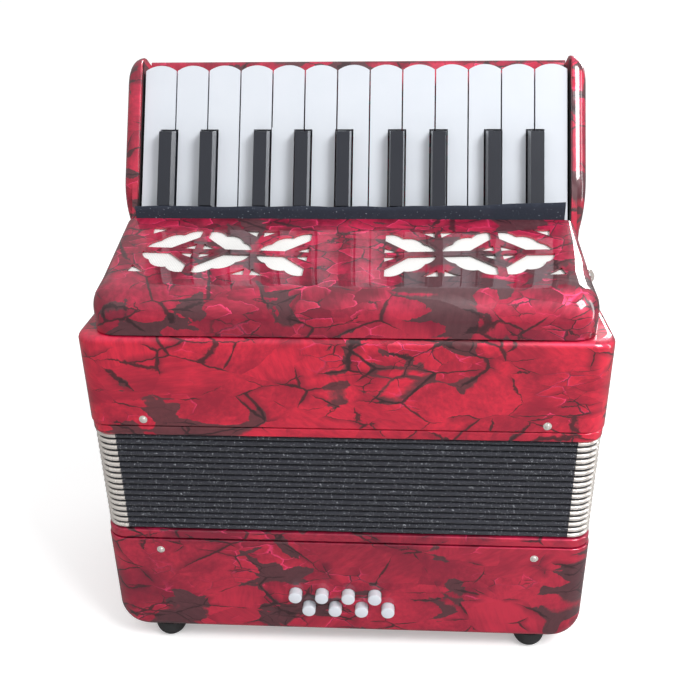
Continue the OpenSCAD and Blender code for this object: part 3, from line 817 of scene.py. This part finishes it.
def ridge(k):
    """Tape over the outer edge of one fold."""
    z = fold_at(k)
    half, nose = FOLD_T / 2, 2.0 * MM
    sections = [(6 * MM, z - half), (nose, z - half)]
    for step in range(1, 8):
        turn = math.pi * step / 8
        sections.append((0.25 * MM + nose * (1 - math.sin(turn)), z - half * math.cos(turn)))
    sections += [(nose, z + half), (6 * MM, z + half)]
    made = mesh_object(f"fold_ridge_{k + 1:02d}", *bellows_ring(sections), tape, 60)
    stretch_block(made, share_at(z))
    return made


def metal_corner(k):
    """Four nickel corner pieces over one fold."""
    z = fold_at(k)
    half, nose = FOLD_PITCH * 0.33, 1.3 * MM
    section = [(4 * MM, -half), (nose, -half)]
    for step in range(1, 6):
        turn = math.pi * step / 6
        section.append((nose * (1 - math.sin(turn)), -half * math.cos(turn)))
    section += [(nose, half), (4 * MM, half)]
    arm = CORNER_ARM - CORNER
    path = [(0, -arm, 0)] + [(0, 0, turn) for turn in quarter(8)] + [(-arm, 0, math.pi / 2)]
    parts = []
    for sx, sy in QUADRANTS:
        stations = []
        for slide_x, slide_y, turn in path:
            ring = []
            for inset, height in section:
                x = FOLD_W - CORNER + slide_x + (CORNER - inset) * math.cos(turn)
                y = FOLD_D - CORNER + slide_y + (CORNER - inset) * math.sin(turn)
                ring.append((sx * x, sy * y, z + height))
            stations.append(ring)
        parts.append(skin(stations))
    made = mesh_object(f"fold_corner_{k + 1:02d}", *merge(parts), plate, 60)
    stretch_block(made, share_at(z))
    return made


def web(k):
    """Folded cloth between two ridges, or between a ridge and a frame."""
    low_z = BELLOWS_LOW if k == 0 else fold_at(k - 1)
    high_z = BELLOWS_HIGH if k == FOLDS else fold_at(k)
    middle = (low_z + high_z) / 2
    outer, inner, card = 5 * MM, 14 * MM, 0.6 * MM
    sections = [(outer, low_z), (inner, middle), (outer, high_z)]
    sections += [(outer + card, high_z), (inner + card, middle), (outer + card, low_z)]
    made = mesh_object(f"fold_web_{k + 1:02d}", *bellows_ring(sections), fold_cloth, 60)
    stretch_web(made, low_z, high_z)


def bellows():
    """Every fold, with the webs between them."""
    ridges = [ridge(k) for k in range(FOLDS)]
    corners = [metal_corner(k) for k in range(FOLDS)]
    for k in range(FOLDS + 1):
        web(k)
    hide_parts("bellows_pleats")
    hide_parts("bellows_corners")


# ---- Grille ----

GRILLE_T = 1.2 * MM
GRILLE_CORNER = 14 * MM
PATTERN_MID = 31.1 * MM
RIB = 2.2


def grille_top(y):
    """Height of the grille's sloping top."""
    return grille_high.z - (grille_high.y - y) * math.tan(GRILLE_SLOPE)


def grille_outline(inset, back):
    """Plan of the grille from its right back corner round the front to its left back corner."""
    front = grille_low.y + inset
    corner_x = grille_high.x - GRILLE_CORNER
    corner_y = grille_low.y + GRILLE_CORNER
    rear_x = grille_high.x - 9 * MM - inset
    rear_y = 10 * MM
    side_x = grille_high.x - inset
    at_back = rear_x + (side_x - rear_x) * (rear_y - back) / (rear_y - corner_y)
    right = [(at_back, back)]
    for k in range(1, 5):
        share = k / 5
        right.append((at_back + (side_x - at_back) * share, back + (corner_y - back) * share))
    right += arc(corner_x, corner_y, GRILLE_CORNER - inset, 0, -90, 10)
    right += [(corner_x * (1 - k / 4), front) for k in range(1, 4)]
    left = [(-x, y) for x, y in reversed(right)]
    return right + [(0, front)] + left


def grille_rings(inset, drop):
    """Rings up the side and over the rounded edge, which is tighter at the back than at the front."""
    back = grille_high.y
    rings = [lifted(grille_outline(inset, back), grille_low.z + 0.5 * MM)]
    for turn in quarter(10):
        outlines = [
            grille_outline(inset + (radius - inset) * (1 - math.cos(turn)), back)
            for radius in (GRILLE_BACK_ROUND, GRILLE_ROUND)
        ]
        ring = []
        for tight, wide in zip(*outlines):
            share = min(1.0, (back - wide[1]) / (40 * MM))
            x, y = (a + (b - a) * share for a, b in zip(tight, wide))
            radius = GRILLE_BACK_ROUND + (GRILLE_ROUND - GRILLE_BACK_ROUND) * share
            ring.append((x, y, grille_top(y) - drop - (radius - drop) * (1 - math.sin(turn))))
        rings.append(ring)
    return rings


def grille_shell():
    """The closed shell of the grille, open behind and below."""
    layers = [grille_rings(0.0, 0.0), grille_rings(GRILLE_T, GRILLE_T)]
    vertices, faces = merge([skin(rings, closed_path=False, caps=False) for rings in layers])
    base, levels, count = len(vertices) // 2, len(layers[0]), len(layers[0][0])
    top = (levels - 1) * count
    faces += [tuple(range(first, first + count)) for first in (top, base + top)]
    rim = [k * count for k in range(levels)]
    rim += [k * count + count - 1 for k in reversed(range(levels))]
    for a, b in zip(rim, rim[1:]):
        faces.append((a, b, base + b, base + a))
    for j in range(count - 1):
        faces.append((j, j + 1, base + j + 1, base + j))
    return vertices, faces


def bulge(start, end, rise):
    """Points along a shallow arc from start to end that rises to its right."""
    a, b = Vector(start), Vector(end)
    half = (b - a).length / 2
    radius = (half**2 + rise**2) / (2 * rise)
    out = Vector(((b - a).y, (a - b).x)).normalized()
    centre = (a + b) / 2 + out * (rise - radius)
    span = math.asin(half / radius)
    steps = 7
    points = []
    for k in range(steps):
        turn = -span + 2 * span * k / steps
        spoke = out * math.cos(turn) + (b - a).normalized() * math.sin(turn)
        points.append(tuple(centre + spoke * radius))
    return points


def petal():
    """One petal of a pierced flower in the +x +y quadrant, in millimetres from its middle."""
    tip, first, second, heel = (29, RIB - 0.5), (23, 8.4), (12, 13.8), (RIB, 17.4)
    scallops = bulge(tip, first, 1.3) + bulge(first, second, 2.2) + bulge(second, heel, 1.6)
    return scallops + [heel, (RIB, 11.2), (14.6, RIB - 0.5)]


def pattern_outlines():
    """All piercings in the plane of the grille's top, in millimetres from the pattern's middle."""
    eye = [(1.8, 1.3), (9.6, 1.7), (6.2, 3.9), (2.0, 5.7)]
    inner_leaf = [(1.9, 13.2), (10.2, 18.2), (1.4, 18.2)]
    outer_leaf = [(29.6, 13.0), (31.2, 18.2), (21, 18.2)]
    flower, half_flower = 79.6, 18.2
    shapes = []
    for turned in (1, -1):
        shapes += [[(flower + turned * x, y) for x, y in shape] for shape in (petal(), eye)]
        middle = (flower + half_flower) / 2
        shapes.append([(middle + turned * x, y) for x, y in inner_leaf])
    shapes += [[(half_flower + x, y) for x, y in shape] for shape in (petal(), eye)]
    shapes.append([(flower + x, y) for x, y in outer_leaf])
    shapes += [[(x, -y) for x, y in shape] for shape in list(shapes)]
    shapes += [[(-x, y) for x, y in shape] for shape in list(shapes)]
    return shapes


def fan(x, y):
    """A point of the pattern, which fans out to the front and bows at both ends."""
    return x * (1 - 0.0016 * y) + 0.045 * y + 0.8, y + 0.04 * abs(x)


def on_grille(x, y, height):
    """A point in millimetres from the pattern's middle, at a height over the grille's top."""
    slope = Matrix.Rotation(GRILLE_SLOPE, 3, "X")
    local = slope @ Vector((x * MM, y * MM - PATTERN_MID, height))
    return Vector((0, grille_high.y, grille_high.z)) + local


def grille():
    """The grille with its piercings cut through."""
    made = mesh_object("grille_shell", *grille_shell(), pearl_grille, 40)
    cutters = []
    for outline in pattern_outlines():
        fanned = [fan(x, y) for x, y in outline]
        cutters.append(skin([[on_grille(x, y, height) for x, y in fanned] for height in (-8 * MM, 8 * MM)]))
    cut(made, cutters)
    shade(made, 40)
    bevel(made, 0.2 * MM, 2, 50)
    flat_normals(made)
    dress(made, TREBLE, "pearl_red", "grille")


def grille_cloth():
    """Cloth stretched under the piercings, sagging a little between them."""
    columns, rows = 90, 22
    half_x, half_y = 113, 22.5
    rings = []
    for j in range(rows + 1):
        y = 1.5 + half_y * (2 * j / rows - 1)
        ring = []
        for depth, order in ((0.25, 1), (0.75, -1)):
            for i in range(columns + 1)[::order]:
                x = half_x * (2 * i / columns - 1)
                sag = 0.15 * MM * noise.noise(Vector((x / 16, y / 9, 3.1)))
                ring.append(on_grille(x, y, sag - GRILLE_T - depth * MM))
        rings.append(ring)
    made = mesh_object("grille_cloth_sheet", *skin(rings), grille_weave, 60)
    dress(made, TREBLE, "grille_cloth", "grille_cloth")


# ---- Keyboard body ----

CHEEK_PROUD = 3.5 * MM
CHEEK_TOP = 87.4 * MM
BOARD_Q = KEY_T + 5.6 * MM
BOARD_TOP = 90.8 * MM
SHOULDER_Q = 19 * MM


def on_keys(s, q):
    """Side view of a point s up along the keys and q back into them: (y, z)."""
    y = KEYS_Y + s * math.sin(LEAN) + q * math.cos(LEAN)
    z = KEYS_Z + s * math.cos(LEAN) - q * math.sin(LEAN)
    return y, z


def cheek_outline(front, inset, top):
    """Side outline of a cheek: front is its lower front, top its height along the keys."""
    round_r = 9 * MM
    q = inset - CHEEK_PROUD
    low_z = body_low.z
    back = body_high.y - inset
    points = [(front + inset, low_z)]
    foot, bend, slope = (front + inset, low_z + 30 * MM), on_keys(0, q), on_keys(16 * MM, q)
    for k in range(9):
        t = k / 8
        weights = ((1 - t) ** 2, 2 * t * (1 - t), t * t)
        points.append(tuple(sum(w * p[i] for w, p in zip(weights, (foot, bend, slope))) for i in (0, 1)))
    centre_s, centre_q = top - round_r, q + round_r
    for turn in quarter(8):
        points.append(on_keys(centre_s + round_r * math.sin(turn), centre_q - round_r * math.cos(turn)))
    points.append(on_keys(top, SHOULDER_Q - inset))
    return points + [(back, on_keys(top, SHOULDER_Q)[1] - 6 * MM), (back, low_z)]


def cheek(side):
    """One end of the keyboard's body, rounded outside and at its top corner."""
    outer_round, top_round, inner_round, foot = 6.5 * MM, 10 * MM, 0.9 * MM, 9 * MM
    stations = [outer_round * (1 - math.cos(turn)) for turn in quarter(6)] + [7.3 * MM]
    stations += [CHEEK_T - inner_round * math.cos(turn) for turn in quarter(3)]
    rings = []
    for deep in stations:
        inset = edge_inset(deep, outer_round) + edge_inset(CHEEK_T - deep, inner_round)
        outline = cheek_outline(foot, inset, CHEEK_TOP - edge_inset(deep, top_round))
        rings += sideways(outline, [KEYS_X + side * (CHEEK_OUT - deep)])
    return skin(rings)


def cheek_foot(side):
    """The thinner inner layer of a cheek, which reaches forward under the grille."""
    x0 = KEYS_X + side * (CHEEK_OUT - CHEEK_T + 0.2 * MM)
    x1 = x0 + side * 3 * MM
    outline = cheek_outline(body_low.y, 0.3 * MM, 20 * MM)[:10]
    outline += [on_keys(20 * MM, 6 * MM), (12 * MM, body_low.z)]
    return skin(sideways(outline, (x0, x1)))


def body_board():
    """The board behind the keys and the closed back of the body."""
    half = CHEEK_OUT - CHEEK_T + 0.5 * MM
    crown = 2.5 * MM
    shoulder_z = on_keys(CHEEK_TOP, SHOULDER_Q)[1] - 6 * MM
    outline = [on_keys(-30 * MM, BOARD_Q)]
    for turn in quarter(5):
        up, back = crown * (math.sin(turn) - 1), crown * (1 - math.cos(turn))
        outline.append(on_keys(BOARD_TOP + up, BOARD_Q + back))
    outline.append(on_keys(BOARD_TOP, BOARD_Q + 8 * MM))
    outline += [(body_high.y - 3 * MM, shoulder_z), (body_high.y, shoulder_z - 4 * MM)]
    outline += [(body_high.y, body_low.z), (14 * MM, body_low.z)]
    return skin(sideways(outline, (KEYS_X - half, KEYS_X + half)))


def keyboard_body():
    """Cheeks and board in one pearl piece."""
    parts = [body_board()]
    for side in (-1, 1):
        parts += [cheek(side), cheek_foot(side)]
    made = mesh_object("keyboard_body", *merge(parts), pearl_body, 38)
    flat_normals(made)
    dress(made, TREBLE, "pearl_red", "keyboard_base")


def cheek_black_strips():
    """Thin black strips on the inner faces of the cheeks, beside the end keys."""
    corners = ((-12, -1 * MM), (83, -1 * MM), (83, BOARD_Q), (-12, BOARD_Q))
    outline = [on_keys(s * MM, q) for s, q in corners]
    parts = []
    for side in (-1, 1):
        x = KEYS_X + side * (CHEEK_OUT - CHEEK_T)
        parts.append(skin(sideways(outline, (x + side * 0.1 * MM, x - side * 0.5 * MM))))
    made = mesh_object("cheek_black_strips", *merge(parts), strip_black, 40)
    dress(made, TREBLE, "key_black")


def felt_strip():
    """Felt between the keys and the grille, with a slightly uneven top edge."""
    columns, rows = 120, 5
    rings = []
    for i in range(columns + 1):
        x = felt_low.x + (felt_high.x - felt_low.x) * i / columns
        wave = 0.7 * MM * noise.noise(Vector((x * 60, 0.3, 0)))
        wave += 2.6 * MM * max(0.0, (x + 0.02) / 0.138) ** 2
        lean = 0.25 * MM * noise.noise(Vector((x * 35, 7.7, 0)))
        top = felt_high.z - 0.4 * MM + wave
        y0, y1 = felt_low.y + 0.1 * MM, felt_high.y - 0.1 * MM
        ring = [(x, y0, felt_low.z + (top - felt_low.z) * j / rows) for j in range(rows)]
        ring += [(x, y0 + 0.2 * MM + lean, top - 0.2 * MM), (x, (y0 + y1) / 2 + lean, top)]
        ring += [(x, y1 - 0.2 * MM + lean, top - 0.2 * MM)]
        ring += [(x, y1, felt_low.z + (top - felt_low.z) * j / rows) for j in reversed(range(rows))]
        rings.append(ring)
    made = mesh_object("felt_strip", *skin(rings), felt_navy, 70)
    dress(made, TREBLE, "felt", "key_felt_strip")


# ---- Straps ----


def strap(name, start, end, width, thickness, body, *nodes):
    """A straight leather strap with rounded edges, its width along y."""
    steps = 24
    edge = thickness / 2
    out = (end - start).normalized().cross(ACROSS)
    rings = []
    for step in range(steps + 1):
        centre = start.lerp(end, step / steps)
        ring = []
        for side, first in ((1, -90), (-1, 90)):
            for offset, height in arc(side * (width / 2 - edge), 0, edge, first, first + 180, 6):
                ring.append(centre + ACROSS * offset + out * height)
        rings.append(ring)
    made = mesh_object(name, *skin(rings), leather_black, 50)
    dress(made, body, "strap_leather", *nodes)


def stitches(start, end, half_width):
    """Short raised stitches along both edges of a strap."""
    pitch = 4 * MM
    rounds = [(0, -1.2), (0.3, -0.9), (0.35, 0), (0.3, 0.9), (0, 1.2)]
    profile = [(radius * MM, height * MM) for radius, height in rounds]
    length, way = (end - start).length, (end - start).normalized()
    parts = []
    for side in (-1, 1):
        row = start + ACROSS * side * (half_width - 2 * MM)
        parts += [lathe(profile, row + way * (k + 0.5) * pitch, way, 8) for k in range(int(length / pitch))]
    return parts


def snap(name, x, y, z, side):
    """A snap fastener's cap."""
    profile = [(0, 0), (5, 0), (5, 0.4), (4.2, 1.0), (2.6, 1.2), (2.2, 1.0), (0, 1.0)]
    solid = lathe([(radius * MM, height * MM) for radius, height in profile], (x, y, z), (side, 0, 0))
    dress(mesh_object(name, *solid, plate, 50), TREBLE, "nickel")


def straps():
    """Both bellows straps with their stitches and snaps, and the hand strap under the bass end."""
    low, high, middle = box_of("bellows_straps")
    width, thickness = high.y - low.y, 2.0 * MM
    sewn = []
    for side, label in ((1, "right"), (-1, "left")):
        x = side * (high.x - thickness / 2 - 0.1 * MM)
        start, end = (Vector((x, middle.y, z)) for z in (low.z, high.z))
        nodes = ["bellows_straps"] if side > 0 else []
        strap(f"bellows_strap_{label}", start, end, width, thickness, TREBLE, *nodes)
        x = side * (high.x - 0.25 * MM)
        sewn += stitches(*(Vector((x, middle.y, z)) for z in (low.z + 6 * MM, high.z - 6 * MM)), width / 2)
        for place, z in (("lower", low.z + 12 * MM), ("upper", high.z - 12 * MM)):
            snap(f"snap_{label}_{place}", side * (high.x - 0.1 * MM), middle.y, z, side)
    dress(mesh_object("bellows_strap_stitches", *merge(sewn), key_white, 60), TREBLE, "key_white")

    low, high, middle = box_of("bass_strap")
    start, end = (Vector((x, middle.y, middle.z)) for x in (low.x, high.x))
    strap("hand_strap", start, end, high.y - low.y, high.z - low.z - 0.2 * MM, BASS, "bass_strap")


# ---- CAD nodes that stay, with rounded edges and materials ----


def finish_node(node, material, round_width=0.0, segments=2):
    """Gives a CAD node its material and rounds its edges."""
    obj = frame["nodes"][node]
    obj.data.materials.clear()
    obj.data.materials.append(material)
    for face in obj.data.polygons:
        face.material_index = 0
        face.use_smooth = True
    if round_width:
        flat = obj.modifiers.new("merge", "DECIMATE")
        flat.decimate_type = "DISSOLVE"
        flat.angle_limit = math.radians(1)
        bevel(obj, round_width, segments, 40)


def keys():
    """White and black keys."""
    for n in range(1, 23):
        node = f"key_{n:02d}"
        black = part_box(node)[1].z < on_keys(60 * MM, 0)[1]
        finish_node(node, key_black if black else key_white, 0.8 * MM, 3)


def inner_parts():
    """Materials of the fittings and of what lies inside."""
    finish_node("air_button", key_white, 0.8 * MM, 3)
    for material, rounding, nodes in (
        (plate, 0.35, ("strap_brackets", "bass_strap_fittings")),
        (plate, 0.2, ("bass_cover_screws",)),
        (plate, 0, ("key_axle",)),
        (pearl_bass, 0.4, ("bass_end_cover",)),
        (wood, 0, ("bass_soundboard", "bass_reed_block", "bass_valve_plate")),
        (wood, 0, ("treble_soundboard", "treble_reed_blocks")),
        (reed_metal, 0, ("bass_reed_plates", "treble_reed_plates")),
        (brass, 0, ("bass_button_springs", "key_springs")),
    ):
        for node in nodes:
            finish_node(node, material, rounding * MM)


# ---- Stage ----


def softbox(name, place, target, size_x, size_y, power, lights=True):
    """A rectangular soft lamp that faces a point, and can show in reflections only."""
    data = bpy.data.lights.new(name, "AREA")
    data.shape = "RECTANGLE"
    data.size = size_x
    data.size_y = size_y
    data.energy = power
    obj = new_object(name, data)
    obj.visible_diffuse = lights
    obj.location = place
    obj.rotation_euler = (Vector(target) - Vector(place)).to_track_quat("-Z", "Y").to_euler()
    return obj


def seen_by(tree, ray, usual, special):
    """A value that differs for one kind of ray."""
    kind = source(tree, "LightPath", ray)
    return add("Mix", {0: kind, 2: usual, 3: special})


def stage():
    """Pale floor, near-white surroundings and soft lamps."""
    material, tree = new_material("floor_white")
    pale = spread(noise_at(place_in(tree), 8), 0, 1, 0.9, 0.95)
    tone = seen_by(tree, "Is Glossy Ray", pale, 0.16)
    finish(
        material,
        Base_Color=add("CombineColor", {0: tone, 1: tone, 2: tone}),
        Roughness=0.7,
        Emission_Color=(1, 1, 1),
        Emission_Strength=seen_by(tree, "Is Camera Ray", 0.0, 0.3),
    )
    half = 6.0
    corners = [(-half, -half, 0), (half, -half, 0), (half, half, 0), (-half, half, 0)]
    mesh_object("floor", corners, [(0, 1, 2, 3)], material)

    surroundings()
    middle = (0, 0, 0.17)
    softbox("lamp_main", (0.7, -0.6, 1.1), middle, 0.5, 0.5, 12)
    softbox("lamp_back", (0.62, 0.95, 0.6), (0.1, -0.05, 0.22), 0.3, 0.4, 6, False)
    softbox("lamp_right", (1.0, -0.1, 0.35), middle, 0.14, 0.9, 2.5, False)


def surroundings():
    """White to the camera and for plain light; in reflections, bright above and greyer at the sides."""
    world = bpy.data.worlds.new("surroundings")
    bpy.context.scene.world = world
    world.use_nodes = True
    tree = world.node_tree
    height = add("SeparateXYZ", {0: source(tree, "TexCoord", "Generated")}, "Z")
    soft = spread(height, -0.2, 0.9, 0.6, 0.9)
    mirrored = spread(height, 0.2, 0.9, 0.28, 0.6)
    strength = seen_by(tree, "Is Camera Ray", seen_by(tree, "Is Glossy Ray", soft, mirrored), 1.0)
    feed(tree.nodes["Background"], {"Color": (1, 1, 1), "Strength": strength})


def camera():
    """Camera above the front, looking down at the object."""
    data = bpy.data.cameras.new("camera")
    data.sensor_width = 36
    data.lens = 44.4
    data.shift_x = -0.0003
    data.shift_y = 0.0042
    data.clip_start = 0.01
    pitch, yaw, roll = math.radians(25.99), math.radians(-3.514), math.radians(-0.816)
    forward = Vector((math.sin(yaw) * math.cos(pitch), math.cos(yaw) * math.cos(pitch), -math.sin(pitch)))
    clouds_and_painted_shade = Vector((math.cos(yaw), -math.sin(yaw), 0))
    upright = clouds_and_painted_shade.cross(forward)
    right = clouds_and_painted_shade * math.cos(roll) + upright * math.sin(roll)
    up = upright * math.cos(roll) - clouds_and_painted_shade * math.sin(roll)
    obj = new_object("camera", data)
    place = Matrix((right, up, -forward)).transposed().to_4x4()
    place.translation = (0.0286, -0.46785, 0.39102)
    obj.matrix_world = place
    bpy.context.scene.camera = obj


def build():
    """Every piece of the accordion."""
    bass_casing()
    treble_casing()
    gap = 0.5 * MM
    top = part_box("bass_bellows_frame")[1].z
    bellows_frame("bass_frame", "bass_bellows_frame", case_high.z + gap, top, pearl_bass, BASS)
    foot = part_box("treble_bellows_frame")[0].z
    bellows_frame("treble_frame", "treble_bellows_frame", foot, treble_low.z - gap, pearl_treble, TREBLE)
    feet()
    for n in range(1, 9):
        button(n)
    pins("bass_pins", "bass_bellows_pins", BASS)
    pins("treble_pins", "treble_bellows_pins", TREBLE)
    bellows()
    grille()
    grille_cloth()
    keyboard_body()
    cheek_black_strips()
    felt_strip()
    straps()
    keys()
    inner_parts()


build()
stage()
camera()
bpy.context.scene.view_settings.view_transform = "Standard"
